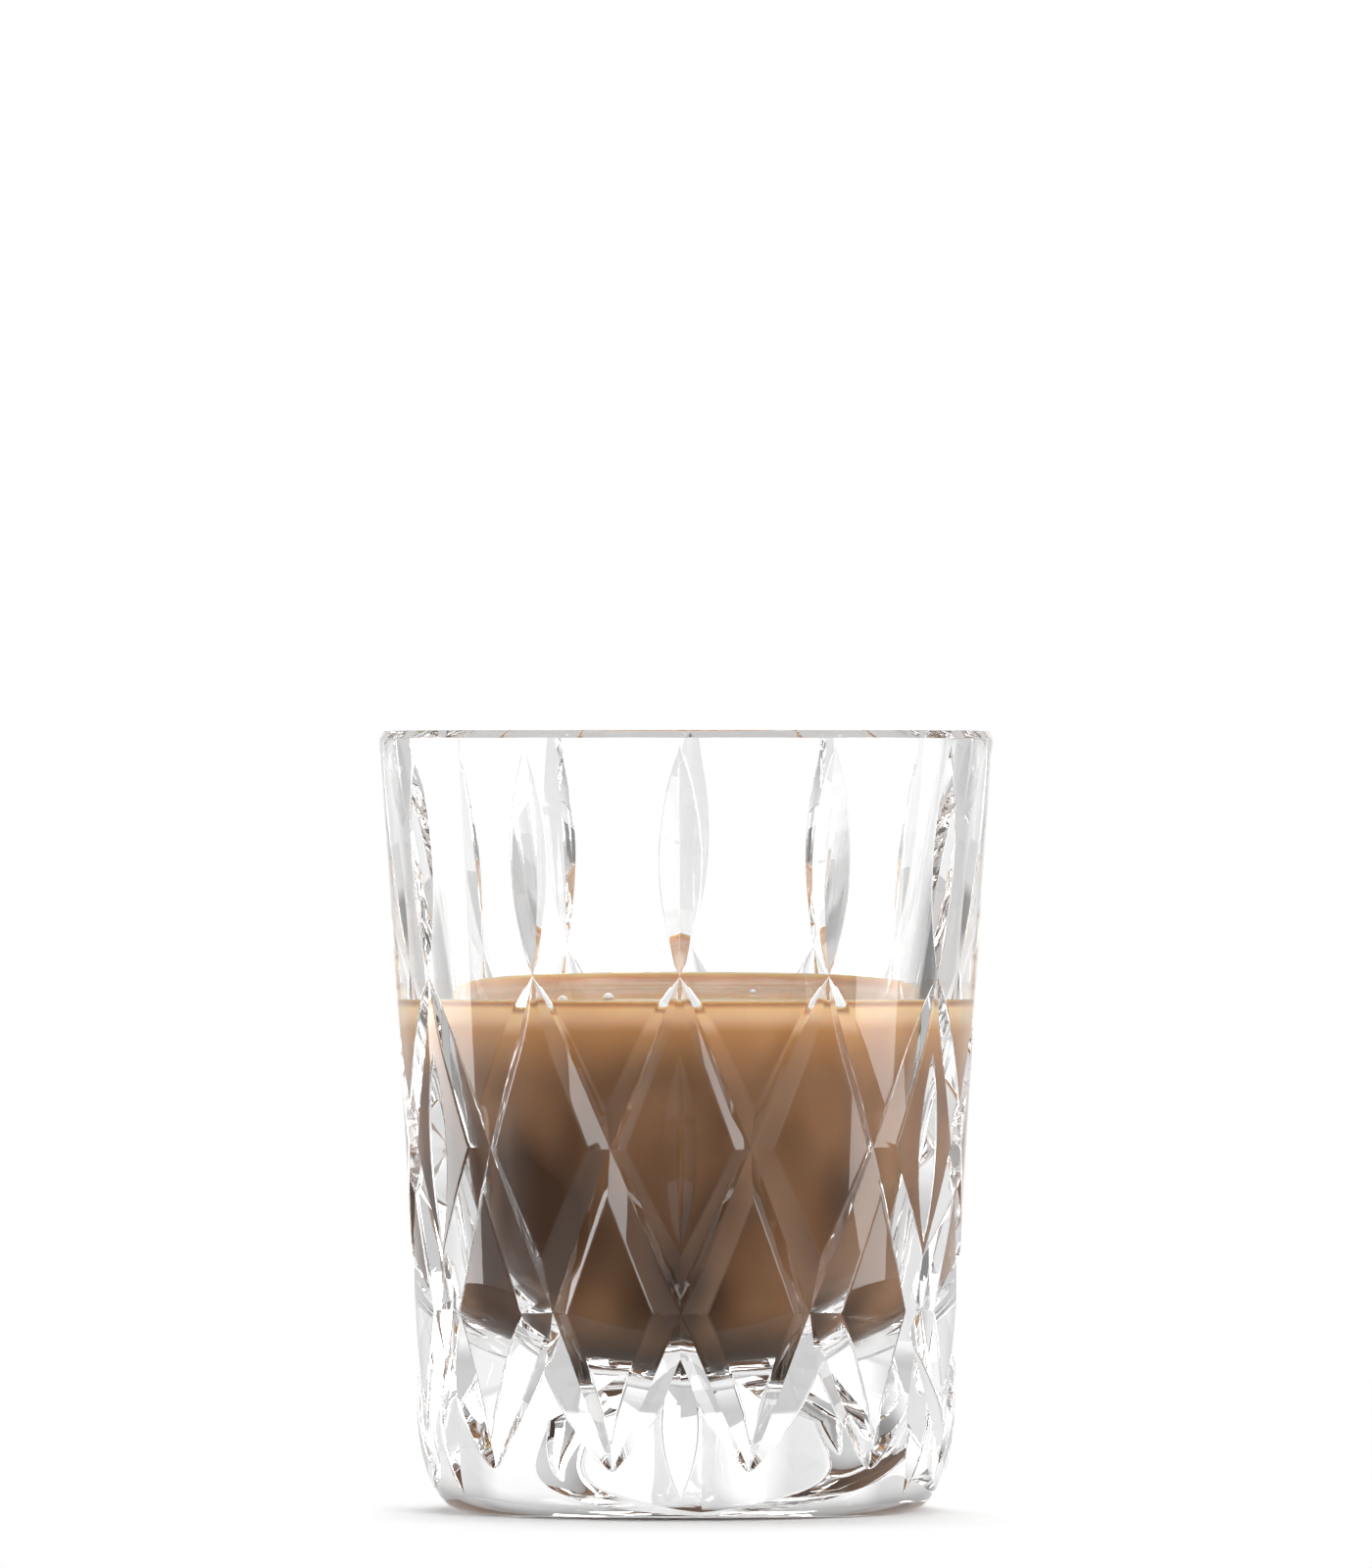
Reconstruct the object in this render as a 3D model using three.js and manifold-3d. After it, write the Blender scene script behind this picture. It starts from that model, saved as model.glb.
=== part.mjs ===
// A schnapps glass: a small tapered tumbler of clear glass with a thick base and a cut pattern of
// upright olives and crossing grooves, and the cream liqueur that stands in it.
// Millimetres, +Z up. The origin is the middle of the face that the glass stands on.

import * as THREE from "three";
import { mergeVertices } from "three/addons/utils/BufferGeometryUtils.js";
import Module from "manifold-3d";

const { degToRad, lerp } = THREE.MathUtils;

// The outside of the glass
const HEIGHT = 60;
const RIM_RADIUS = 23.85;
const RIM_ROUND = 0.6;
const WAIST_HEIGHT = 20; // the wall is a little hollow, most of all near this height
const WALL_HOLLOW = 0.53;
const FOOT_HEIGHT = 7.6; // below this the foot draws in
const FOOT_RADIUS = 20.68;
const FOOT_SHOULDER = 3; // how far down the foot still follows the wall
const FOOT_ROUND = 2.6; // and how far in its underside is round
const BASE_RADIUS = 17;
const STAND_RING = 3.5; // the flat ring that it stands on, round a shallow dish
const DISH_DEPTH = 0.45;

// The bowl
const RIM_WALL = 2.4;
const BOWL_LEAN = degToRad(8.87);
const BASE_THICKNESS = 10.9;
const BOWL_CORNER = 11.2; // the floor runs up into the wall with this radius
const BOWL_FLAT = 1; // least radius of the flat floor inside it

// The drink
const DRINK_DEPTH = 27.6;
const DRINK_GAP = 0.3; // kept clear of the glass
const MENISCUS_WIDTH = 1.6;
const MENISCUS_RISE = 1;

// The cut pattern stands in columns, and every second one carries more upright cuts.
const COLUMNS = 12;
const CUT_HALF_ANGLE = degToRad(55); // every cut is a V, open this far to each side
const CUT_CLEARANCE = 1; // how far the cutting wedges stand out of the glass

// Crossing grooves: each falls three half columns sideways, and ends in a leaf-shaped tip.
const GROOVE_TOP = 41.3;
const GROOVE_END = 3.8;
const GROOVE_SAG = 0.7; // how far its middle lies below a straight fall
const GROOVE_RUN = 3;
const GROOVE_START = 0.5; // half columns in which the pointed upper end opens out
const GROOVE_LEAF = 2; // half columns after which it narrows to the leaf's tip
const GROOVE_HALF_TOP = 1.1;
const GROOVE_HALF_LOW = 1.9;
const LEAF_FULLNESS = 0.6;

// Upright olives: half widths, and their ends measured from the rim, the grooves and the base
const TOP_OLIVE_HALF = 1.6;
const TOP_OLIVE_BELOW_RIM = 1.1;
const MIDDLE_OLIVE_HALF = 1.25;
const MIDDLE_OLIVE_LENGTH = 14.6;
const FOOT_OLIVE_HALF = 1.4;
const FOOT_OLIVE_BELOW_CROSSING = 2.1;
const FOOT_OLIVE_END = 1.65;

// How finely the round forms are stepped
const LATHE_STEPS = 48;
const CORNER_STEPS = 3;
const WALL_STEPS = 4;
const FOOT_STEPS = 5;
const BOWL_STEPS = 7;
const OLIVE_STEPS = 8;
const GROOVE_STEPS = 12;
const OLIVE_OVERRUN = 1.04;
const GROOVE_OVERRUN = 0.02;

const wasm = await Module();
wasm.setup();

// The outside

function wallCurve() {
  const along = (WAIST_HEIGHT - FOOT_HEIGHT) / (HEIGHT - FOOT_HEIGHT);
  return new THREE.QuadraticBezierCurve(
    new THREE.Vector2(RIM_RADIUS, HEIGHT),
    new THREE.Vector2(lerp(FOOT_RADIUS, RIM_RADIUS, along) - WALL_HOLLOW, WAIST_HEIGHT),
    new THREE.Vector2(FOOT_RADIUS, FOOT_HEIGHT),
  );
}

function footCurve(wall) {
  const shoulder = wall.getPoint(1).addScaledVector(wall.getTangent(1), FOOT_SHOULDER);
  return new THREE.CubicBezierCurve(
    wall.getPoint(1),
    shoulder,
    new THREE.Vector2(BASE_RADIUS + FOOT_ROUND, 0),
    new THREE.Vector2(BASE_RADIUS, 0),
  );
}

const wall = wallCurve();
const foot = footCurve(wall);

// The radius at which a falling curve passes the height z.
function radiusOn(curve, z) {
  let above = 0;
  let below = 1;
  for (let i = 0; i < 40; i += 1) {
    const middle = (above + below) / 2;
    if (curve.getPoint(middle).y > z) {
      above = middle;
    } else {
      below = middle;
    }
  }
  return curve.getPoint(above).x;
}

function outerRadius(z) {
  return radiusOn(z < FOOT_HEIGHT ? foot : wall, z);
}

// Azimuth is counted from the front, -Y, and grows towards +X.
function outerPoint(azimuth, z) {
  const radius = outerRadius(z);
  return new THREE.Vector3(radius * Math.sin(azimuth), -radius * Math.cos(azimuth), z);
}

function outerNormal(azimuth, z) {
  const step = 0.01;
  const slope = (outerRadius(z + step) - outerRadius(z - step)) / (2 * step);
  return new THREE.Vector3(Math.sin(azimuth), -Math.cos(azimuth), -slope).normalize();
}

// The bowl

function bowlRadius(z) {
  return RIM_RADIUS - RIM_WALL - Math.tan(BOWL_LEAN) * (HEIGHT - z);
}

// The corner's radius, limited where the bowl is too narrow for it.
function bowlCorner() {
  const room = bowlRadius(BASE_THICKNESS) - BOWL_FLAT;
  return Math.min(BOWL_CORNER, room / (1 / Math.cos(BOWL_LEAN) - Math.tan(BOWL_LEAN)));
}

// The bowl's outline from the height top down to the middle of its floor, moved in by inset.
function bowlOutline(top, inset) {
  const corner = bowlCorner();
  const centreZ = BASE_THICKNESS + corner;
  const centreR = bowlRadius(centreZ) - corner / Math.cos(BOWL_LEAN);
  const points = [new THREE.Vector2(bowlRadius(top) - inset / Math.cos(BOWL_LEAN), top)];
  for (let i = 0; i <= BOWL_STEPS; i += 1) {
    const angle = lerp(-BOWL_LEAN, -Math.PI / 2, i / BOWL_STEPS);
    const reach = corner - inset;
    points.push(
      new THREE.Vector2(centreR + reach * Math.cos(angle), centreZ + reach * Math.sin(angle)),
    );
  }
  points.push(new THREE.Vector2(0, BASE_THICKNESS + inset));
  return points;
}

// Solids

function toSolid(geometry) {
  geometry.deleteAttribute("normal");
  geometry.deleteAttribute("uv");
  const merged = mergeVertices(geometry, 1e-5);
  const index = merged.getIndex().array;
  const triangles = [];
  for (let i = 0; i < index.length; i += 3) {
    const [a, b, c] = [index[i], index[i + 1], index[i + 2]];
    if (a !== b && b !== c && c !== a) {
      triangles.push(a, b, c);
    }
  }
  return new wasm.Manifold(
    new wasm.Mesh({
      numProp: 3,
      vertProperties: new Float32Array(merged.getAttribute("position").array),
      triVerts: new Uint32Array(triangles),
    }),
  );
}

function toGeometry(solid) {
  const mesh = solid.getMesh();
  const geometry = new THREE.BufferGeometry();
  geometry.setAttribute("position", new THREE.BufferAttribute(mesh.vertProperties, 3));
  geometry.setIndex(new THREE.BufferAttribute(mesh.triVerts, 1));
  geometry.computeVertexNormals();
  return geometry;
}

// A round body about the Z axis. Its flats are turned so that no edge lies on a cut's middle line.
function turned(outline) {
  const geometry = new THREE.LatheGeometry(outline, LATHE_STEPS);
  geometry.rotateY(Math.PI / LATHE_STEPS);
  geometry.rotateX(Math.PI / 2);
  return geometry;
}

// A rounded corner as a short curve, from start to end.
function roundedCorner(start, corner, end) {
  return new THREE.QuadraticBezierCurve(start, corner, end).getPoints(CORNER_STEPS);
}

function dishOutline() {
  const points = [];
  for (let i = 0; i <= CORNER_STEPS; i += 1) {
    const out = i / CORNER_STEPS;
    points.push(
      new THREE.Vector2(out * (BASE_RADIUS - STAND_RING), DISH_DEPTH * (1 - out * out)),
    );
  }
  return points;
}

// The wall's lower end comes with the foot, and its upper end is taken up by the rounded rim.
function wallOutline() {
  return wall.getPoints(WALL_STEPS).slice(1, -1).reverse();
}

function rimOutline() {
  const shoulder = HEIGHT - RIM_ROUND;
  const outside = roundedCorner(
    new THREE.Vector2(outerRadius(shoulder), shoulder),
    new THREE.Vector2(RIM_RADIUS, HEIGHT),
    new THREE.Vector2(RIM_RADIUS - RIM_ROUND, HEIGHT),
  );
  const inside = roundedCorner(
    new THREE.Vector2(bowlRadius(HEIGHT) + RIM_ROUND, HEIGHT),
    new THREE.Vector2(bowlRadius(HEIGHT), HEIGHT),
    new THREE.Vector2(bowlRadius(shoulder), shoulder),
  );
  return [...outside, ...inside];
}

function blank() {
  const outline = [
    ...dishOutline(),
    ...foot.getPoints(FOOT_STEPS).reverse(),
    ...wallOutline(),
    ...rimOutline(),
    ...bowlOutline(HEIGHT - RIM_ROUND, 0).slice(1),
  ];
  return toSolid(turned(outline));
}

// Cuts

function columnAzimuth(column) {
  return (column * 2 * Math.PI) / COLUMNS;
}

// A wedge that follows a line over the outside of the glass. Each station has an azimuth, a height
// and the half width of the cut there; where that is negative the wedge is clear of the glass.
function cutter(stations) {
  const spread = Math.tan(CUT_HALF_ANGLE);
  const vertices = [];
  stations.forEach(({ azimuth, z, half }, i) => {
    const before = stations[Math.max(0, i - 1)];
    const after = stations[Math.min(stations.length - 1, i + 1)];
    const normal = outerNormal(azimuth, z);
    const along = outerPoint(after.azimuth, after.z).sub(outerPoint(before.azimuth, before.z));
    const across = new THREE.Vector3().crossVectors(normal, along).normalize();
    const point = outerPoint(azimuth, z);
    const valley = point.clone().addScaledVector(normal, -half / spread);
    const lip = point.clone().addScaledVector(normal, CUT_CLEARANCE);
    const reach = half + CUT_CLEARANCE * spread;
    const left = lip.clone().addScaledVector(across, reach);
    const right = lip.clone().addScaledVector(across, -reach);
    vertices.push(...valley.toArray(), ...left.toArray(), ...right.toArray());
  });
  const triangles = [0, 2, 1];
  for (let i = 0; i < stations.length - 1; i += 1) {
    for (let side = 0; side < 3; side += 1) {
      const a = 3 * i + side;
      const b = 3 * i + ((side + 1) % 3);
      triangles.push(a, b, a + 3, b, b + 3, a + 3);
    }
  }
  const last = 3 * (stations.length - 1);
  triangles.push(last, last + 1, last + 2);
  const geometry = new THREE.BufferGeometry();
  geometry.setAttribute("position", new THREE.Float32BufferAttribute(vertices, 3));
  geometry.setIndex(triangles);
  return toSolid(geometry);
}

// An upright cut from one height to another, pointed at both ends as a wheel leaves it.
function olive(column, from, to, half) {
  const stations = [];
  for (let i = 0; i <= OLIVE_STEPS; i += 1) {
    const place = OLIVE_OVERRUN * ((2 * i) / OLIVE_STEPS - 1);
    stations.push({
      azimuth: columnAzimuth(column),
      z: (from + to) / 2 + (place * (to - from)) / 2,
      half: half * (1 - place * place),
    });
  }
  return cutter(stations);
}

// The height of a crossing groove, a given number of half columns from its upper end.
function grooveHeight(run) {
  const part = run / GROOVE_RUN;
  return lerp(GROOVE_TOP, GROOVE_END, part) - 4 * GROOVE_SAG * part * (1 - part);
}

function grooveHalf(run) {
  if (run < GROOVE_START) {
    const short = 1 - run / GROOVE_START;
    return GROOVE_HALF_TOP * (1 - short * short);
  }
  if (run < GROOVE_LEAF) {
    const part = (run - GROOVE_START) / (GROOVE_LEAF - GROOVE_START);
    return lerp(GROOVE_HALF_TOP, GROOVE_HALF_LOW, part);
  }
  const over = (run - GROOVE_LEAF) / (GROOVE_RUN - GROOVE_LEAF);
  const left = 1 - over * over;
  return GROOVE_HALF_LOW * Math.sign(left) * Math.abs(left) ** LEAF_FULLNESS;
}

// A groove that falls to the right (side 1) or to the left (side -1) from the top of a column.
function groove(column, side) {
  const stations = [];
  for (let i = 0; i <= GROOVE_STEPS; i += 1) {
    const eased = (1 - Math.cos((Math.PI * i) / GROOVE_STEPS)) / 2;
    const run = lerp(-GROOVE_OVERRUN, GROOVE_RUN + GROOVE_OVERRUN, eased);
    stations.push({
      azimuth: columnAzimuth(column + (side * run) / 2),
      z: grooveHeight(run),
      half: grooveHalf(run),
    });
  }
  return cutter(stations);
}

function topOlive(column) {
  return olive(column, GROOVE_TOP, HEIGHT - TOP_OLIVE_BELOW_RIM, TOP_OLIVE_HALF);
}

function middleOlive(column) {
  const middle = grooveHeight(1);
  const reach = MIDDLE_OLIVE_LENGTH / 2;
  return olive(column, middle - reach, middle + reach, MIDDLE_OLIVE_HALF);
}

function footOlive(column) {
  const top = grooveHeight(2) - FOOT_OLIVE_BELOW_CROSSING;
  return olive(column, FOOT_OLIVE_END, top, FOOT_OLIVE_HALF);
}

function allCuts() {
  const cuts = [];
  for (let column = 0; column < COLUMNS; column += 1) {
    cuts.push(topOlive(column), groove(column, 1), groove(column, -1));
    if (column % 2 === 0) {
      cuts.push(middleOlive(column), footOlive(column));
    }
  }
  return cuts.reduce((joined, cut) => joined.add(cut));
}

// The pieces

function tumbler() {
  const material = new THREE.MeshStandardMaterial({
    color: 0xeef2f1,
    roughness: 0.04,
    metalness: 0,
    transparent: true,
    opacity: 0.35,
  });
  const mesh = new THREE.Mesh(toGeometry(blank().subtract(allCuts())), material);
  mesh.name = "tumbler";
  return mesh;
}

// The drink stands a little higher where it wets the glass.
function drink() {
  const level = BASE_THICKNESS + DRINK_DEPTH;
  const bowl = bowlOutline(level + MENISCUS_RISE, DRINK_GAP).reverse();
  const contact = bowl.pop();
  const surface = roundedCorner(
    contact,
    new THREE.Vector2(contact.x - MENISCUS_WIDTH / 4, level),
    new THREE.Vector2(contact.x - MENISCUS_WIDTH, level),
  );
  const outline = [...bowl, ...surface, new THREE.Vector2(0, level)];
  const material = new THREE.MeshStandardMaterial({ color: 0xa87a55, roughness: 0.2, metalness: 0 });
  const mesh = new THREE.Mesh(toGeometry(toSolid(turned(outline))), material);
  mesh.name = "drink";
  return mesh;
}

const glass = new THREE.Group();
glass.add(tumbler(), drink());

export default glass;
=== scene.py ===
"""A schnapps glass of clear cut glass with a cream liqueur in it, dressed for rendering.

The tumbler is turned and cut again here with fine steps and with the slightly rounded edges that
polished glass has. Metres, +Z up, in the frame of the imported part.
"""

import math

import bmesh
import bpy
import numpy as np
from mathutils import Matrix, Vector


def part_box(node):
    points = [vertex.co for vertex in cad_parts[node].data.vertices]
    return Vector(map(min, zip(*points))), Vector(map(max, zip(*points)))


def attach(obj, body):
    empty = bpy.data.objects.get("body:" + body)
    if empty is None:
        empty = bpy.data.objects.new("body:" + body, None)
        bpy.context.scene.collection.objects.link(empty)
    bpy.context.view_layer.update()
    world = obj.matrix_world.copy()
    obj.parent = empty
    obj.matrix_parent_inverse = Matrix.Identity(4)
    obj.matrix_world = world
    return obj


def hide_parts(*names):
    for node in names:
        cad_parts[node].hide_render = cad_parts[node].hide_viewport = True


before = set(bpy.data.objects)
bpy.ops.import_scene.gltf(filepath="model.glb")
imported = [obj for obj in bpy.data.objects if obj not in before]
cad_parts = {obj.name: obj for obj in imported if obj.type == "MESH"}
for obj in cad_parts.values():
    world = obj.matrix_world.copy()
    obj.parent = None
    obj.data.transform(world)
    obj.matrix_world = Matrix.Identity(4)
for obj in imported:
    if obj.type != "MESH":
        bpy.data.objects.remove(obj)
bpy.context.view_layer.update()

MM = 0.001

# The outside of the glass
TUMBLER_LOW, TUMBLER_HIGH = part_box("tumbler")
HEIGHT = TUMBLER_HIGH.z
RIM_RADIUS = TUMBLER_HIGH.x
RIM_ROUND = 0.6 * MM
RIM_BEVEL = 0.62 * MM
RIM_BEVEL_LEAN = math.radians(28)
BEVEL_SOFT = 0.05 * MM
WAIST_HEIGHT = 20 * MM
WALL_HOLLOW = 0.53 * MM
FOOT_HEIGHT = 7.6 * MM
FOOT_RADIUS = 20.68 * MM
FOOT_SHOULDER = 3 * MM
FOOT_ROUND = 2.6 * MM
BASE_RADIUS = 17 * MM
STAND_RING = 3.5 * MM
DISH_DEPTH = 0.45 * MM

# The bowl and the drink in it
RIM_WALL = 2.4 * MM
BOWL_LEAN = math.radians(8.87)
BASE_THICKNESS = 10.9 * MM
BOWL_CORNER = 11.2 * MM
DRINK_LEVEL = 38.5 * MM
MENISCUS_WIDTH = 2.2 * MM
MENISCUS_RISE = 1.1 * MM
MENISCUS_CURL = 3  # how suddenly the drink's surface turns up at the wall
SURFACE_FACING = 0.15  # faces of the surface look up by at least this much
SURFACE_MARGIN = 0.01 * MM
WETTING = 0.04 * MM  # the drink's skin lies this deep in the glass, so that no air is left between

# The cut pattern
COLUMNS = 12
COLUMN_TURN = 2 * math.pi / COLUMNS
CUT_SLOPE = 1 / math.tan(math.radians(55))
EDGE_ROUND = 0.14 * MM
EDGE_ROUND_MOST = 0.45  # of a cut's half width
CUT_CLEARANCE = 1 * MM
CUT_LIP = 0.3 * MM
CUT_LEAST = 0.03 * MM
GROOVE_TOP = 41.3 * MM
GROOVE_END = 3.8 * MM
GROOVE_SAG = 0.7 * MM
GROOVE_RUN = 3
GROOVE_START = 0.5
GROOVE_LEAF = 2
GROOVE_HALF_TOP = 1.1 * MM
GROOVE_HALF_LOW = 1.9 * MM
LEAF_FULLNESS = 0.6
TOP_OLIVE_HALF = 1.6 * MM
TOP_OLIVE_BELOW_RIM = 1.1 * MM
MIDDLE_OLIVE_HALF = 1.25 * MM
MIDDLE_OLIVE_LENGTH = 14.6 * MM
FOOT_OLIVE_HALF = 1.4 * MM
FOOT_OLIVE_BELOW_CROSSING = 2.1 * MM
FOOT_OLIVE_END = 1.65 * MM

# How finely the round forms are stepped
LATHE_STEPS = 192
PROFILE_STEPS = 600
OUTLINE_STEPS = 28
DISH_STEPS = 11
BOWL_STEPS = 40
BOWL_FLOOR_STEPS = 3
RIM_EDGE_STEPS = 4
RIM_ROUND_STEPS = 8
MENISCUS_STEPS = 14
SURFACE_STEPS = 11
BUBBLE_SEGMENTS = 20
BUBBLE_RINGS = 12
GROOVE_STEPS = 56
OLIVE_STEPS = 28
STAGE_STEPS = 96

# Up to which angle shading is smooth, and where a point counts as left uncut
SMOOTH_ANGLE = math.radians(24)
DRINK_SMOOTH_ANGLE = math.radians(50)
UNCUT_WITHIN = 0.02 * MM
UNCUT_ABOVE = 0.2 * MM

# Optics
GLASS_IOR = 1.52
DRINK_IOR = 1.39

# The drink's clouds, painted light and shade in patches as the cut glass would cast them, with the two
# colours between which they run, each with its place on the ramp
CLOUD_SIZE = 7 * MM
CLOUD_STRETCH = 0.55  # below 1 they are drawn out upwards
CLOUD_SHIFT = (31 * MM, -7 * MM, 13 * MM)
CLOUD_DETAIL = 1
# Painted light on the drink: paler upwards and to the right
PAINTED_LIGHT_UPWARDS = 0.35  # paler upwards
PAINTED_LIGHT_RIGHTWARDS = 0.13  # and to the right
# Painted shade at the dark end of the clouds, painted light at the pale end
PAINTED_SHADE_PATCH = (0.54, (0.09, 0.042, 0.019, 1))
PAINTED_LIGHT_PATCH = (0.92, (0.39, 0.207, 0.108, 1))

# Painted light and shade on the drink: painted shade at its bottom, a painted glow below its level, a
# brighter painted glow right under it, and painted shade on the wall above it
LOW_SHADE_HEIGHT = 6 * MM
LOW_SHADE_COLOUR = (0.055, 0.036, 0.021, 1)
# Painted glow: golden under the level, brightest right under it, as light from above makes the drink
# glow
PAINTED_GLOW_DEPTH = 5.5 * MM
PAINTED_GLOW_COLOUR = (0.74, 0.385, 0.16, 1)
BRIGHT_GLOW_DEPTH = 1.4 * MM
BRIGHT_GLOW_COLOUR = (0.95, 0.7, 0.42, 1)
# Painted shade on the drink where it climbs the wall
MENISCUS_SHADE_COLOUR = (0.28, 0.2, 0.15, 1)
MENISCUS_SHADE_RISE = (0.3 * MENISCUS_RISE, 0.8 * MENISCUS_RISE)

# The cream on the drink's surface and the froth of its bubbles, and how far light spreads in them
CREAM_DARK = (0.3, (0.56, 0.32, 0.18, 1))
CREAM_PALE = (0.7, (0.72, 0.44, 0.27, 1))
FROTH_PALE = (1, (0.95, 0.9, 0.85, 1))
FROTH_RISE = 0.1 * MM
SCATTER = 1.0 * MM
SCATTER_BY_COLOUR = (1.0, 0.62, 0.34)

# The bubbles that float on the drink: x, y and radius in millimetres
BUBBLES = [
    (-10.2, 14.6, 0.4),
    (-9.5, -0.6, 0.42),
    (-8.4, -12, 0.3),
    (-6.1, 1.9, 0.45),
    (-4.8, -13, 0.5),
    (-4.0, -13.5, 0.34),
    (5.2, 9, 0.3),
]

# The camera stands level with a point near the rim, as far off as the picture's perspective tells.
CAMERA_DISTANCE = 1.2
CAMERA_HEIGHT = 55.9 * MM
CAMERA_AZIMUTH = math.radians(1.2)
FRAME_HEIGHT = 120.75 * MM  # how much the picture's long side takes in at the glass
SENSOR = 36
CLIP_END = 20
CLEAR_BOUNCES = 32
SOFT_BOUNCES = 4

# The studio. Stops are a place and how bright the surroundings are there.
# Of the world: by the sine of the elevation, and by the tangent of the turn off X or Y
WORLD_HEIGHTS = [(0, 1.15), (0.34, 1), (0.42, 0.85), (0.57, 0.5), (0.75, 0.35), (1, 0.5)]
WORLD_TURNS = [(0, 1), (0.22, 1), (0.31, 0.72), (0.4, 0.74), (0.5, 0.82), (0.78, 0.8), (1, 0.62)]
WORLD_FRONT = (0.2, 0.5)  # below the horizon it gets dark from here to there, towards the viewer
FRONT_DARK = 0.2
FLOOR_RADIUS = 210 * MM
FLOOR_SHIFT = 70 * MM
FLOOR_DROP = 0.02 * MM
FLOOR_COLOUR = (0.95, 0.95, 0.95, 1)
SHADOW_FADE = (21 * MM, 44 * MM)

# Of the table round the glass: by the radius in millimetres, and by the sine of the turn off Y.
# Two dark flags lie on it, one at each side.
RING_INNER = 38 * MM
RING_REACH = FLOOR_RADIUS + FLOOR_SHIFT
RING_DROP = 0.01 * MM
RING_STOPS = [(38, 1), (60, 0.62), (140, 0.6), (165, 0.68), (195, 0.82), (230, 0.96), (250, 1)]
RING_SIDES = [(0, 1), (0.36, 1), (0.5, 0.62), (1, 0.62)]
FLAG_STOPS = [(140, 0), (152, 0.75), (178, 0.75), (192, 0)]
FLAG_SIDES = [(0.7, 0), (0.76, 1), (0.88, 1), (0.93, 0)]

# The softboxes: azimuth and elevation in degrees, width and height in metres, and radiance
SOFTBOX_DISTANCE = 0.6
SOFTBOXES = {
    "softbox_front": (28, 28, 0.26, 0.42, 5),
    "softbox_right": (82, 16, 0.24, 0.46, 4),
    "softbox_left": (-108, 12, 0.34, 0.46, 5),
    "softbox_top": (180, 62, 0.45, 0.45, 3.4),
}


# Outlines


def bezier(points, steps):
    """Points along a Bezier curve, as an array of (radius, height)."""
    part = np.linspace(0, 1, steps + 1)[:, None]
    layers = [np.array(p, float)[None, :] for p in points]
    while len(layers) > 1:
        layers = [(1 - part) * a + part * b for a, b in zip(layers, layers[1:])]
    return layers[0]


def wall_controls():
    along = (WAIST_HEIGHT - FOOT_HEIGHT) / (HEIGHT - FOOT_HEIGHT)
    waist = FOOT_RADIUS + along * (RIM_RADIUS - FOOT_RADIUS) - WALL_HOLLOW
    return [(RIM_RADIUS, HEIGHT), (waist, WAIST_HEIGHT), (FOOT_RADIUS, FOOT_HEIGHT)]


def foot_controls():
    waist, end = (np.array(p) for p in wall_controls()[1:])
    shoulder = end + FOOT_SHOULDER * (end - waist) / np.linalg.norm(end - waist)
    return [end, shoulder, (BASE_RADIUS + FOOT_ROUND, 0), (BASE_RADIUS, 0)]


def fine_profile():
    """The uncut outside from the foot up, finely stepped, to look radii up in."""
    wall = bezier(wall_controls(), PROFILE_STEPS)
    foot = bezier(foot_controls(), PROFILE_STEPS)
    return np.vstack([wall, foot[1:]])[::-1]


PROFILE = fine_profile()


def outer_radius(z):
    return np.interp(z, PROFILE[:, 1], PROFILE[:, 0])


def outer_slope(z):
    step = 0.05 * MM
    return (outer_radius(z + step) - outer_radius(z - step)) / (2 * step)


def outer_point(azimuth, z):
    """A point on the uncut outside. Azimuth is counted from the front, -Y, towards +X."""
    radius = outer_radius(z)
    return np.array([radius * math.sin(azimuth), -radius * math.cos(azimuth), z])


def outer_normal(azimuth, z):
    normal = np.array([math.sin(azimuth), -math.cos(azimuth), -outer_slope(z)])
    return normal / np.linalg.norm(normal)


def bowl_radius(z):
    return RIM_RADIUS - RIM_WALL - math.tan(BOWL_LEAN) * (HEIGHT - z)


def bowl_outline(top, outset, steps):
    """The bowl's outline from the height top down to the middle of its floor, moved out by outset."""
    centre_z = BASE_THICKNESS + BOWL_CORNER
    centre_r = bowl_radius(centre_z) - BOWL_CORNER / math.cos(BOWL_LEAN)
    reach = BOWL_CORNER + outset
    angles = np.linspace(-BOWL_LEAN, -math.pi / 2, steps)
    arc = np.column_stack([centre_r + reach * np.cos(angles), centre_z + reach * np.sin(angles)])
    start = np.array([bowl_radius(top) + outset / math.cos(BOWL_LEAN), top])
    cone = start + np.linspace(0, 1, steps // 2)[:-1, None] * (arc[0] - start)
    floor_r = np.linspace(centre_r, 0, BOWL_FLOOR_STEPS + 1)[1:]
    floor = np.column_stack([floor_r, np.full(BOWL_FLOOR_STEPS, BASE_THICKNESS - outset)])
    return np.vstack([cone, arc, floor])


def dish_outline():
    out = np.linspace(0, 1, DISH_STEPS + 1)
    return np.column_stack([out * (BASE_RADIUS - STAND_RING), DISH_DEPTH * (1 - out * out)])


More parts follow.
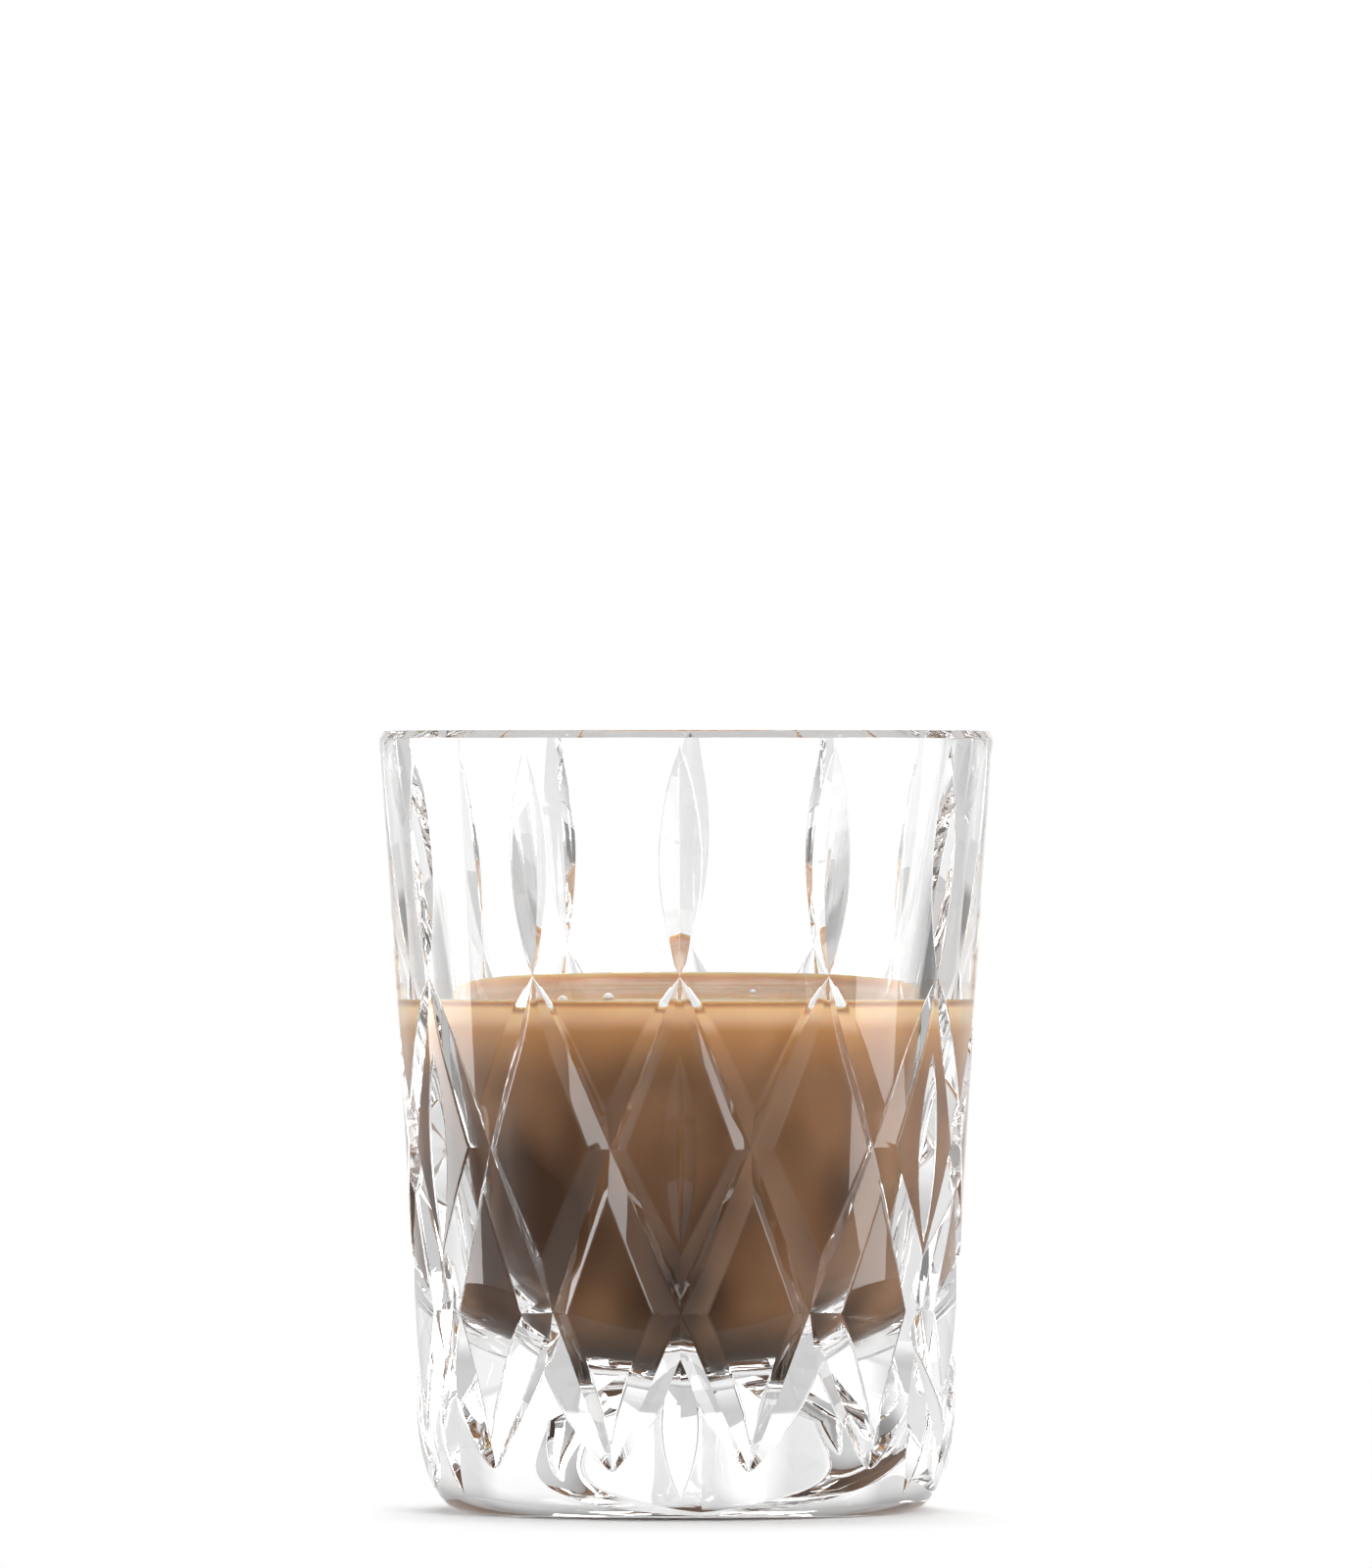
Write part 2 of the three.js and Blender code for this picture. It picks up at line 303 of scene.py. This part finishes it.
def rim_outline():
    """The polished rim: a narrow bevel with soft edges outside, and a rounding into the bowl."""
    low, shoulder, inner = HEIGHT - RIM_BEVEL, HEIGHT - RIM_ROUND, bowl_radius(HEIGHT)
    foot = np.array([outer_radius(low), low])
    crest = np.array([foot[0] - RIM_BEVEL * math.tan(RIM_BEVEL_LEAN), HEIGHT])
    along = BEVEL_SOFT * (crest - foot) / np.linalg.norm(crest - foot)
    lower_edge = [(outer_radius(low - BEVEL_SOFT), low - BEVEL_SOFT), foot, foot + along]
    upper_edge = [crest - along, crest, (crest[0] - BEVEL_SOFT, HEIGHT)]
    inside = [(inner + RIM_ROUND, HEIGHT), (inner, HEIGHT), (bowl_radius(shoulder), shoulder)]
    edges = [bezier(edge, RIM_EDGE_STEPS) for edge in (lower_edge, upper_edge)]
    return np.vstack([*edges, bezier(inside, RIM_ROUND_STEPS)])


def blank_outline():
    """The whole tumbler before it is cut, from the middle of its underside to that of the bowl."""
    wall = bezier(wall_controls(), OUTLINE_STEPS)[::-1][1:-1]
    foot = bezier(foot_controls(), OUTLINE_STEPS)[::-1]
    bowl = bowl_outline(HEIGHT - RIM_ROUND, 0, BOWL_STEPS)[1:]
    return np.vstack([dish_outline(), foot, wall, rim_outline(), bowl])


# Meshes


def new_piece(name, vertices, faces):
    mesh = bpy.data.meshes.new(name)
    mesh.from_pydata([tuple(v) for v in vertices], [], faces)
    mesh.validate()
    piece = bpy.data.objects.new(name, mesh)
    bpy.context.scene.collection.objects.link(piece)
    return piece


def turned(name, outline):
    """A closed round body about the Z axis; the outline starts and ends on the axis."""
    rings = outline[1:-1]
    azimuths = np.arange(LATHE_STEPS) * 2 * math.pi / LATHE_STEPS
    vertices = [(r * math.sin(a), -r * math.cos(a), z) for r, z in rings for a in azimuths]
    first = len(vertices)
    vertices += [(0, 0, outline[0][1]), (0, 0, outline[-1][1])]
    faces = []
    for i in range(LATHE_STEPS):
        j = (i + 1) % LATHE_STEPS
        faces.append((first, j, i))
        last_ring = (len(rings) - 1) * LATHE_STEPS
        faces.append((first + 1, last_ring + i, last_ring + j))
        for ring in range(len(rings) - 1):
            low = ring * LATHE_STEPS
            high = low + LATHE_STEPS
            faces.append((low + i, low + j, high + j, high + i))
    return new_piece(name, vertices, faces)


# Cuts


def cut_section(half, bend):
    """Half of a cut's section as (sideways, outward) points, from its valley to clear of the glass.
    The surface falls away by bend times the sideways distance squared."""
    round_off = min(EDGE_ROUND, EDGE_ROUND_MOST * half)
    depth = CUT_SLOPE * half + bend * half**2
    inner, outer = half - round_off, half + round_off
    edge = CUT_SLOPE * round_off / 4
    return [
        (0, -depth),
        (inner, inner * CUT_SLOPE - depth),
        (half, -bend * half**2 - edge),
        (outer, -bend * outer**2),
        (outer + CUT_LIP, -bend * outer**2 + CUT_LIP * edge / round_off),
        (outer + CUT_LIP, CUT_CLEARANCE),
    ]


def cutter(name, stations):
    """A wedge that follows a line over the outside. A station is (azimuth, height, half width)."""
    sections = []
    for i, (azimuth, z, half) in enumerate(stations):
        before, after = stations[max(0, i - 1)], stations[min(len(stations) - 1, i + 1)]
        normal = outer_normal(azimuth, z)
        across = np.cross(normal, outer_point(*after[:2]) - outer_point(*before[:2]))
        across /= np.linalg.norm(across)
        level = np.array([math.cos(azimuth), math.sin(azimuth), 0]).dot(across)
        right = cut_section(half, level**2 / (2 * outer_radius(z)))
        outline = [(-t, n) for t, n in right[:0:-1]] + right
        sections.append([outer_point(azimuth, z) + t * across + n * normal for t, n in outline])
    count = len(sections[0])
    vertices = [p for section in sections for p in section]
    faces = [tuple(range(count)), tuple(range(len(vertices) - 1, len(vertices) - count - 1, -1))]
    for i in range(len(sections) - 1):
        for k in range(count):
            a, b = i * count + k, i * count + (k + 1) % count
            faces.append((a, a + count, b + count, b))
    piece = new_piece(name, vertices, faces)
    outward = bmesh.new()
    outward.from_mesh(piece.data)
    bmesh.ops.recalc_face_normals(outward, faces=outward.faces)
    outward.to_mesh(piece.data)
    outward.free()
    return piece


def olive(name, column, low, high, half):
    """An upright cut from one height to another, pointed at both ends as a wheel leaves it."""
    end = math.sqrt(1 - CUT_LEAST / half)
    places = end * np.sin(np.linspace(-math.pi / 2, math.pi / 2, OLIVE_STEPS + 1))
    middle, reach = (low + high) / 2, (high - low) / 2
    stations = [(column * COLUMN_TURN, middle + p * reach, half * (1 - p * p)) for p in places]
    return cutter(name, stations)


def groove_height(run):
    """The height of a crossing groove, a number of half columns from its upper end."""
    part = run / GROOVE_RUN
    return GROOVE_TOP + part * (GROOVE_END - GROOVE_TOP) - 4 * GROOVE_SAG * part * (1 - part)


def groove_half(run):
    """Half the width of a crossing groove, from its pointed start to the leaf at its end."""
    if run < GROOVE_START:
        return GROOVE_HALF_TOP * (1 - (1 - run / GROOVE_START) ** 2)
    if run < GROOVE_LEAF:
        part = (run - GROOVE_START) / (GROOVE_LEAF - GROOVE_START)
        return GROOVE_HALF_TOP + part * (GROOVE_HALF_LOW - GROOVE_HALF_TOP)
    over = (run - GROOVE_LEAF) / (GROOVE_RUN - GROOVE_LEAF)
    return GROOVE_HALF_LOW * max(0, 1 - over * over) ** LEAF_FULLNESS


def groove(name, column, side):
    """A groove that falls to the right (side 1) or to the left (side -1) from the top of a column."""
    eased = (1 - np.cos(np.linspace(0, math.pi, GROOVE_STEPS + 1))) / 2
    stations = []
    for run in GROOVE_RUN * eased:
        azimuth = (column + side * run / 2) * COLUMN_TURN
        stations.append((azimuth, groove_height(run), max(CUT_LEAST, groove_half(run))))
    return cutter(name, stations)


def all_cutters():
    """Every cut of the pattern; each second column has an olive in its lozenge and one at its foot."""
    rim_end = HEIGHT - TOP_OLIVE_BELOW_RIM
    middle_low = groove_height(1) - MIDDLE_OLIVE_LENGTH / 2
    middle_high = groove_height(1) + MIDDLE_OLIVE_LENGTH / 2
    foot_high = groove_height(2) - FOOT_OLIVE_BELOW_CROSSING
    cutters = []
    for k in range(COLUMNS):
        cutters.append(olive(f"cut_top_{k}", k, GROOVE_TOP, rim_end, TOP_OLIVE_HALF))
        cutters.append(groove(f"cut_right_{k}", k, 1))
        cutters.append(groove(f"cut_left_{k}", k, -1))
        if k % 2 == 0:
            cutters.append(olive(f"cut_middle_{k}", k, middle_low, middle_high, MIDDLE_OLIVE_HALF))
            cutters.append(olive(f"cut_foot_{k}", k, FOOT_OLIVE_END, foot_high, FOOT_OLIVE_HALF))
    return cutters


def cut(blank, cutters):
    """Takes the cutters out of the blank, for good."""
    wheel = bpy.data.collections.new("cutters")
    for piece in cutters:
        wheel.objects.link(piece)
    modifier = blank.modifiers.new("cuts", "BOOLEAN")
    modifier.operation = "DIFFERENCE"
    modifier.operand_type = "COLLECTION"
    modifier.collection = wheel
    modifier.solver = "MANIFOLD"
    evaluated = blank.evaluated_get(bpy.context.evaluated_depsgraph_get())
    mesh = bpy.data.meshes.new_from_object(evaluated)
    blank.modifiers.clear()
    blank.data = mesh
    for piece in cutters:
        bpy.data.objects.remove(piece)
    bpy.data.collections.remove(wheel)


def shade_as_turned(piece):
    """Smooth shading, with the true normals of the turned outside wherever it is left uncut."""
    mesh = piece.data
    mesh.shade_smooth()
    mesh.set_sharp_from_angle(angle=SMOOTH_ANGLE)
    corners = np.empty(len(mesh.loops) * 3)
    mesh.corner_normals.foreach_get("vector", corners)
    corners = corners.reshape(-1, 3)
    points = np.empty(len(mesh.vertices) * 3)
    mesh.vertices.foreach_get("co", points)
    at = np.empty(len(mesh.loops), int)
    mesh.loops.foreach_get("vertex_index", at)
    place = points.reshape(-1, 3)[at]
    radius = np.hypot(place[:, 0], place[:, 1])
    true = np.column_stack([place[:, :2] / np.maximum(radius, MM)[:, None], -outer_slope(place[:, 2])])
    true /= np.linalg.norm(true, axis=1)[:, None]
    on_wall = np.abs(radius - outer_radius(place[:, 2])) < UNCUT_WITHIN
    on_wall &= (place[:, 2] > UNCUT_ABOVE) & (place[:, 2] < HEIGHT - RIM_ROUND)
    on_wall &= (corners * true).sum(1) > math.cos(SMOOTH_ANGLE)
    corners[on_wall] = true[on_wall]
    mesh.normals_split_custom_set(corners.tolist())


def make_tumbler():
    piece = turned("cut_tumbler", blank_outline())
    cut(piece, all_cutters())
    shade_as_turned(piece)
    piece.data.materials.clear()
    piece.data.materials.append(clear_glass())
    return piece


def make_drink():
    """The drink fills the bowl and climbs the wall a little all round."""
    contact_z = DRINK_LEVEL + MENISCUS_RISE
    contact_r = bowl_radius(contact_z) + WETTING
    along = np.linspace(1, 0, MENISCUS_STEPS + 1)[1:]
    curl = (np.exp(MENISCUS_CURL * along) - 1) / (math.exp(MENISCUS_CURL) - 1)
    edge_r = contact_r - MENISCUS_WIDTH * (1 - along)
    edge = np.column_stack([edge_r, DRINK_LEVEL + MENISCUS_RISE * curl])
    middle_r = np.linspace(edge_r[-1], 0, SURFACE_STEPS + 1)[1:]
    middle = np.column_stack([middle_r, np.full(SURFACE_STEPS, DRINK_LEVEL)])
    below = bowl_outline(contact_z, WETTING, BOWL_STEPS)[::-1]
    piece = turned("liqueur", np.vstack([below, edge, middle]))
    mesh = piece.data
    mesh.materials.append(liqueur("liqueur_in_glass", DRINK_IOR / GLASS_IOR, brown_with_painted_light))
    mesh.materials.append(liqueur("liqueur_surface", DRINK_IOR, cream_film))
    for face in mesh.polygons:
        on_top = face.center.z > DRINK_LEVEL - SURFACE_MARGIN
        face.material_index = int(on_top and face.normal.z > SURFACE_FACING)
    mesh.shade_smooth()
    mesh.set_sharp_from_angle(angle=DRINK_SMOOTH_ANGLE)
    return piece


def make_bubbles():
    """A few small bubbles, half sunk in the drink."""
    froth = bmesh.new()
    for x, y, radius in BUBBLES:
        place = Matrix.Translation((x * MM, y * MM, DRINK_LEVEL))
        bmesh.ops.create_uvsphere(
            froth,
            u_segments=BUBBLE_SEGMENTS,
            v_segments=BUBBLE_RINGS,
            radius=radius * MM,
            matrix=place,
        )
    mesh = bpy.data.meshes.new("bubbles")
    froth.to_mesh(mesh)
    froth.free()
    mesh.shade_smooth()
    mesh.materials.append(liqueur("froth", DRINK_IOR, froth_white))
    piece = bpy.data.objects.new("bubbles", mesh)
    bpy.context.scene.collection.objects.link(piece)
    return piece


# Materials


def new_material(name):
    material = bpy.data.materials.new(name)
    material.use_nodes = True
    material.node_tree.nodes.clear()
    return material, material.node_tree.nodes, material.node_tree.links


def math_node(tree, operation, first, second=None):
    """A Math node on two inputs, each a number or another node's output."""
    node = tree.nodes.new("ShaderNodeMath")
    node.operation = operation
    for socket, value in zip(node.inputs, (first, second)):
        if isinstance(value, (int, float)):
            socket.default_value = value
        elif value is not None:
            tree.links.new(value, socket)
    return node.outputs[0]


def step_node(tree, value, low, high):
    """A soft step from 0 at low to 1 at high."""
    node = tree.nodes.new("ShaderNodeMapRange")
    node.interpolation_type = "SMOOTHSTEP"
    node.inputs["From Min"].default_value = low
    node.inputs["From Max"].default_value = high
    tree.links.new(value, node.inputs["Value"])
    return node.outputs[0]


def place_nodes(tree):
    """A point's place in its piece, and that place's X, Y and Z."""
    place = tree.nodes.new("ShaderNodeTexCoord").outputs["Object"]
    split = tree.nodes.new("ShaderNodeSeparateXYZ")
    tree.links.new(place, split.inputs[0])
    return place, split.outputs


def clear_glass():
    material, nodes, links = new_material("clear_glass")
    out = nodes.new("ShaderNodeOutputMaterial")
    glass = nodes.new("ShaderNodeBsdfGlass")
    glass.inputs["Color"].default_value = (1, 1, 1, 1)
    glass.inputs["Roughness"].default_value = 0
    glass.inputs["IOR"].default_value = GLASS_IOR
    links.new(glass.outputs[0], out.inputs["Surface"])
    return material


def clouds(tree, place):
    """Soft clouds, drawn out upwards."""
    stretch = tree.nodes.new("ShaderNodeMapping")
    stretch.inputs["Scale"].default_value = (1, 1, CLOUD_STRETCH)
    stretch.inputs["Location"].default_value = CLOUD_SHIFT
    cloud = tree.nodes.new("ShaderNodeTexNoise")
    cloud.inputs["Scale"].default_value = 1 / CLOUD_SIZE
    cloud.inputs["Detail"].default_value = CLOUD_DETAIL
    tree.links.new(place, stretch.inputs["Vector"])
    tree.links.new(stretch.outputs[0], cloud.inputs["Vector"])
    return cloud.outputs["Fac"]


def colour_ramp(tree, value, low, high):
    """A ramp between two colours, each a place and a colour."""
    ramp = tree.nodes.new("ShaderNodeValToRGB")
    for element, (place, colour) in zip(ramp.color_ramp.elements, (low, high)):
        element.position, element.color = place, colour
    tree.links.new(value, ramp.inputs[0])
    return ramp.outputs["Color"]


def blend(tree, part, first, colour):
    """Goes from another node's colour to a given one."""
    node = tree.nodes.new("ShaderNodeMix")
    node.data_type = "RGBA"
    before, after = [socket for socket in node.inputs if socket.type == "RGBA"]
    tree.links.new(part, node.inputs["Factor"])
    tree.links.new(first, before)
    after.default_value = colour
    return next(socket for socket in node.outputs if socket.type == "RGBA")


def brown_with_painted_light(tree):
    """The drink's colour with painted light and shade: clouds of painted light and shade, paler upwards
    and to the right, painted shade towards the bottom, a painted golden glow under the top and painted
    shade on the wall above it.
    """
    place, (x, _, height) = place_nodes(tree)
    # Painted light: paler upwards and to the right
    light_upwards = math_node(tree, "MULTIPLY", height, PAINTED_LIGHT_UPWARDS / DRINK_LEVEL)
    light_rightwards = math_node(tree, "MULTIPLY", x, PAINTED_LIGHT_RIGHTWARDS / bowl_radius(DRINK_LEVEL))
    shade = math_node(tree, "ADD", clouds(tree, place), math_node(tree, "ADD", light_upwards, light_rightwards))
    # Clouds of painted light and shade
    colour = colour_ramp(tree, shade, PAINTED_SHADE_PATCH, PAINTED_LIGHT_PATCH)
    # Painted shade at the bottom, painted glow under the level, painted shade on the wall above it
    zones = [
        (BASE_THICKNESS + LOW_SHADE_HEIGHT, BASE_THICKNESS, LOW_SHADE_COLOUR),
        (DRINK_LEVEL - PAINTED_GLOW_DEPTH, DRINK_LEVEL, PAINTED_GLOW_COLOUR),
        (DRINK_LEVEL - BRIGHT_GLOW_DEPTH, DRINK_LEVEL, BRIGHT_GLOW_COLOUR),
        (DRINK_LEVEL + MENISCUS_SHADE_RISE[0], DRINK_LEVEL + MENISCUS_SHADE_RISE[1], MENISCUS_SHADE_COLOUR),
    ]
    for start, end, zone_colour in zones:
        colour = blend(tree, step_node(tree, height, start, end), colour, zone_colour)
    return colour


def cream_film(tree):
    """The paler cream that lies on the drink."""
    place, _ = place_nodes(tree)
    return colour_ramp(tree, clouds(tree, place), CREAM_DARK, CREAM_PALE)


def froth_white(tree):
    """Bubbles are nearly white, and browner where they meet the drink."""
    _, (_, _, height) = place_nodes(tree)
    part = step_node(tree, height, DRINK_LEVEL, DRINK_LEVEL + FROTH_RISE)
    return colour_ramp(tree, part, CREAM_PALE, FROTH_PALE)


def liqueur(name, ior, colour):
    """Cream liqueur under a clear surface, against air or against glass."""
    material, nodes, links = new_material(name)
    out = nodes.new("ShaderNodeOutputMaterial")
    mix = nodes.new("ShaderNodeMixShader")
    body = nodes.new("ShaderNodeBsdfPrincipled")
    links.new(colour(material.node_tree), body.inputs["Base Color"])
    body.inputs["Specular IOR Level"].default_value = 0
    body.inputs["Roughness"].default_value = 1
    body.inputs["Subsurface Weight"].default_value = 1
    body.inputs["Subsurface Radius"].default_value = SCATTER_BY_COLOUR
    body.inputs["Subsurface Scale"].default_value = SCATTER
    shine = nodes.new("ShaderNodeBsdfAnisotropic")
    shine.inputs["Roughness"].default_value = 0
    fresnel = nodes.new("ShaderNodeFresnel")
    fresnel.inputs["IOR"].default_value = ior
    links.new(fresnel.outputs[0], mix.inputs[0])
    links.new(body.outputs[0], mix.inputs[1])
    links.new(shine.outputs[0], mix.inputs[2])
    links.new(mix.outputs[0], out.inputs["Surface"])
    return material


# The studio


def ramp_node(tree, value, stops):
    """A ramp through greys, each stop a place and a brightness."""
    node = tree.nodes.new("ShaderNodeValToRGB")
    elements = node.color_ramp.elements
    for element, (place, shade) in zip(elements, (stops[0], stops[-1])):
        element.position, element.color = place, (shade, shade, shade, 1)
    for place, shade in stops[1:-1]:
        elements.new(place).color = (shade, shade, shade, 1)
    tree.links.new(value, node.inputs[0])
    return node.outputs["Color"]


def distance_node(tree):
    """How far a point lies from the axis of the glass, for a flat piece at the origin."""
    place, _ = place_nodes(tree)
    length = tree.nodes.new("ShaderNodeVectorMath")
    length.operation = "LENGTH"
    tree.links.new(place, length.inputs[0])
    return length.outputs["Value"]


def radial_ramp(tree, radius, stops):
    """A ramp over the distance from the axis, each stop a radius in millimetres and a brightness."""
    part = math_node(tree, "DIVIDE", radius, RING_REACH)
    return ramp_node(tree, part, [(place * MM / RING_REACH, shade) for place, shade in stops])


def circle(radius, centre_y=0):
    turns = np.arange(STAGE_STEPS) * 2 * math.pi / STAGE_STEPS
    return [(radius * math.cos(t), centre_y + radius * math.sin(t), 0) for t in turns]


def make_floor():
    """A white floor that keeps the shadow of the glass near it, and reaches farther behind the glass."""
    piece = new_piece("floor", circle(FLOOR_RADIUS, FLOOR_SHIFT), [tuple(range(STAGE_STEPS))])
    piece.location.z = -FLOOR_DROP
    material, nodes, links = new_material("floor_white")
    paper = nodes.new("ShaderNodeBsdfDiffuse")
    paper.inputs["Color"].default_value = FLOOR_COLOUR
    white = nodes.new("ShaderNodeEmission")
    mix = nodes.new("ShaderNodeMixShader")
    tree = material.node_tree
    links.new(step_node(tree, distance_node(tree), *SHADOW_FADE), mix.inputs[0])
    links.new(paper.outputs[0], mix.inputs[1])
    links.new(white.outputs[0], mix.inputs[2])
    links.new(mix.outputs[0], nodes.new("ShaderNodeOutputMaterial").inputs["Surface"])
    piece.data.materials.append(material)


def make_ring():
    """The grey of a table with a dark flag at each side, which shows in the glass only."""
    faces = []
    for i in range(STAGE_STEPS):
        j = (i + 1) % STAGE_STEPS
        faces.append((i, STAGE_STEPS + i, STAGE_STEPS + j, j))
    piece = new_piece("grey_ring", circle(RING_INNER) + circle(FLOOR_RADIUS, FLOOR_SHIFT), faces)
    piece.location.z = -RING_DROP
    piece.visible_camera = False
    piece.visible_shadow = False
    piece.visible_diffuse = False
    material, nodes, links = new_material("grey_ring")
    tree = material.node_tree
    grey = nodes.new("ShaderNodeEmission")
    _, (x, _, _) = place_nodes(tree)
    radius = distance_node(tree)
    turn = math_node(tree, "DIVIDE", math_node(tree, "ABSOLUTE", x), radius)
    rings, sides = radial_ramp(tree, radius, RING_STOPS), ramp_node(tree, turn, RING_SIDES)
    flag_rings, flag_sides = radial_ramp(tree, radius, FLAG_STOPS), ramp_node(tree, turn, FLAG_SIDES)
    table = math_node(tree, "MINIMUM", rings, sides)
    flags = math_node(tree, "MULTIPLY", flag_rings, flag_sides)
    shade = math_node(tree, "MULTIPLY", table, math_node(tree, "SUBTRACT", 1, flags))
    links.new(shade, grey.inputs["Color"])
    links.new(grey.outputs[0], nodes.new("ShaderNodeOutputMaterial").inputs["Surface"])
    piece.data.materials.append(material)


def make_world():
    """A studio that is white behind the glass and greyer between its walls, higher up and in front."""
    world = bpy.data.worlds.new("studio")
    world.use_nodes = True
    tree = world.node_tree
    split = tree.nodes.new("ShaderNodeSeparateXYZ")
    tree.links.new(tree.nodes.new("ShaderNodeTexCoord").outputs["Generated"], split.inputs[0])
    x, y, z = split.outputs
    across, along = math_node(tree, "ABSOLUTE", x), math_node(tree, "ABSOLUTE", y)
    less, more = (math_node(tree, pick, across, along) for pick in ("MINIMUM", "MAXIMUM"))
    turns = ramp_node(tree, math_node(tree, "DIVIDE", less, more), WORLD_TURNS)
    walls = math_node(tree, "MULTIPLY", ramp_node(tree, z, WORLD_HEIGHTS), turns)
    front = step_node(tree, math_node(tree, "MULTIPLY", y, -1), *WORLD_FRONT)
    low = math_node(tree, "LESS_THAN", z, 0)
    dark = math_node(tree, "MULTIPLY", math_node(tree, "MULTIPLY", front, low), 1 - FRONT_DARK)
    shade = math_node(tree, "MULTIPLY", walls, math_node(tree, "SUBTRACT", 1, dark))
    seen = tree.nodes.new("ShaderNodeLightPath").outputs["Is Camera Ray"]
    strength = math_node(tree, "MAXIMUM", seen, shade)
    tree.nodes["Background"].inputs["Color"].default_value = (1, 1, 1, 1)
    tree.links.new(strength, tree.nodes["Background"].inputs["Strength"])
    bpy.context.scene.world = world


def around(azimuth, elevation, distance):
    """A place round the glass. Azimuth is counted from the front, -Y, towards +X, in degrees."""
    a, e = math.radians(azimuth), math.radians(elevation)
    return distance * np.array([math.cos(e) * math.sin(a), -math.cos(e) * math.cos(a), math.sin(e)])


def make_softbox(name, azimuth, elevation, width, height, radiance):
    """A softbox that looks at the glass, about as bright over its face as its radiance says."""
    light = bpy.data.lights.new(name, "AREA")
    light.shape = "RECTANGLE"
    light.size, light.size_y = width, height
    light.energy = radiance * math.pi * width * height
    lamp = bpy.data.objects.new(name, light)
    lamp.location = around(azimuth, elevation, SOFTBOX_DISTANCE)
    lamp.rotation_euler = (math.radians(90 - elevation), 0, math.radians(azimuth))
    lamp.visible_camera = False
    bpy.context.scene.collection.objects.link(lamp)


def make_camera():
    data = bpy.data.cameras.new("camera")
    data.sensor_width = SENSOR
    data.lens = SENSOR * CAMERA_DISTANCE / FRAME_HEIGHT
    data.clip_end = CLIP_END
    camera = bpy.data.objects.new("camera", data)
    bpy.context.scene.collection.objects.link(camera)
    camera.location = (
        CAMERA_DISTANCE * math.sin(CAMERA_AZIMUTH),
        -CAMERA_DISTANCE * math.cos(CAMERA_AZIMUTH),
        CAMERA_HEIGHT,
    )
    camera.rotation_euler = (math.pi / 2, 0, CAMERA_AZIMUTH)
    bpy.context.scene.camera = camera


def set_light_paths():
    cycles = bpy.context.scene.cycles
    cycles.max_bounces = CLEAR_BOUNCES
    cycles.glossy_bounces = CLEAR_BOUNCES
    cycles.transmission_bounces = CLEAR_BOUNCES
    cycles.diffuse_bounces = SOFT_BOUNCES


tumbler = make_tumbler()
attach(tumbler, "root")
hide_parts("tumbler")

drink = make_drink()
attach(drink, "root")
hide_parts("drink")

bubbles = make_bubbles()
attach(bubbles, "root")

make_floor()
make_ring()
make_world()
for softbox, settings in SOFTBOXES.items():
    make_softbox(softbox, *settings)
make_camera()
set_light_paths()
bpy.context.scene.view_settings.view_transform = "Standard"
